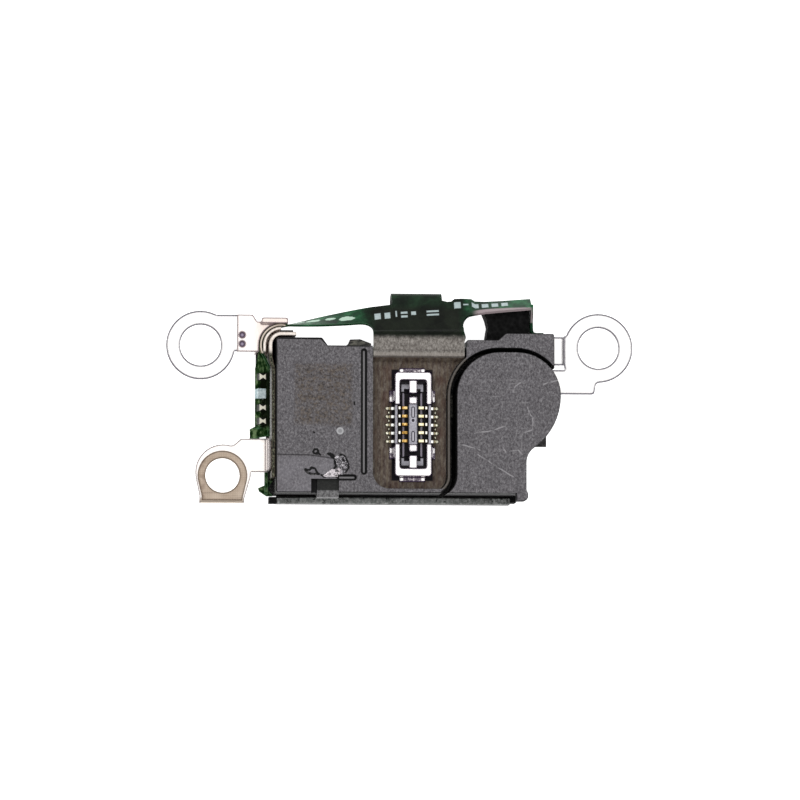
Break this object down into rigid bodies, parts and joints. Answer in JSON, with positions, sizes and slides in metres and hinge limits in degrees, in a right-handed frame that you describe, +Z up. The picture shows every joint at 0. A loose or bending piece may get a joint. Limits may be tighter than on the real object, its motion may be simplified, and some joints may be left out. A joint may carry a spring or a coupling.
{
  "type": "vibration motor module",
  "caption": "Flat vibration module with a coin motor in its round lobe, three screw ears, a folded flex circuit and a board connector in a pocket of the face.",
  "frame": {"origin": "centre of the module's outline in plan, at the level of the back cover's underside", "axes": "+X along the module towards the motor and the right ear, +Y across it towards the folded edge of the flex, +Z up out of the face that holds the connector"},
  "size_m": [0.0198, 0.009, 0.0025],
  "materials": {
    "coated_sheet": "thin dark coating on stamped sheet",
    "black_foam": "soft closed-cell foam",
    "filled_plastic": "dark grey moulding with a fine light speckle",
    "black_plastic": "fine matt moulding",
    "stainless_steel": "cut sheet edge, slightly tanned",
    "ear_steel": "bright bare sheet",
    "weld_metal": "dull weld spot",
    "conductive_tape": "beige conductive tape",
    "flex_film": "green solder mask and brown polyimide film",
    "amber_tape": "amber polyimide film",
    "adhesive": "double-sided tape",
    "chip_resin": "ground moulding compound",
    "solder": "bright tin",
    "chip_ceramic": "fired ceramic",
    "gold_contact": "gold plated spring alloy",
    "bright_plating": "bright plated sheet",
    "motor_steel": "drawn steel",
    "magnet": "nickel plated magnet",
    "brush_alloy": "spring alloy",
    "white_plastic": "low friction film",
    "sintered_bronze": "oil filled sintered bronze",
    "board_laminate": "green laminate",
    "copper_wire": "enamelled copper winding",
    "tungsten": "sintered heavy alloy",
    "rotor_resin": "moulded resin"
  },
  "bodies": {
    "module": {"back_cover": "coated_sheet", "corner_seals": "black_foam", "front_cover": "filled_plastic", "motor_cover": "filled_plastic", "hold_down_clip": "black_plastic", "chassis": "stainless_steel", "upper_left_ear": "ear_steel", "ear_bracket": "ear_steel", "spot_welds": "weld_metal", "right_ear": "ear_steel", "lower_left_ear": "ear_steel", "lower_ear_pad": "conductive_tape", "flex_circuit": "flex_film", "connector_stiffener": "stainless_steel", "foam_pad": "black_foam", "insulating_tape": "amber_tape", "flex_tape": "adhesive", "driver_chip": "chip_resin", "chip_balls": "solder", "filter_capacitors": "chip_ceramic", "panel_chips": "chip_ceramic", "panel_chip_ends": "solder", "connector_body": "black_plastic", "signal_contacts": "gold_contact", "power_clips": "bright_plating", "solder_joints": "solder", "motor_adhesive": "adhesive", "motor_base": "motor_steel", "motor_case": "motor_steel", "motor_shaft": "motor_steel", "motor_flex": "amber_tape", "ring_magnet": "magnet", "brushes": "brush_alloy", "lower_washer": "white_plastic", "upper_washer": "white_plastic", "motor_cushion": "black_foam"},
    "rotor": {"rotor_bushing": "sintered_bronze", "commutator_segments": "gold_contact", "commutator_board": "board_laminate", "rotor_coils": "copper_wire", "counterweight": "tungsten", "rotor_frame": "rotor_resin"}
  },
  "joints": [
    {"name": "rotor_spin", "type": "hinge", "parent": "module", "child": "rotor", "pos_m": [0.00454, -0.00026, 0.0013], "axis": [0, 0, 1], "continuous": true}
  ]
}
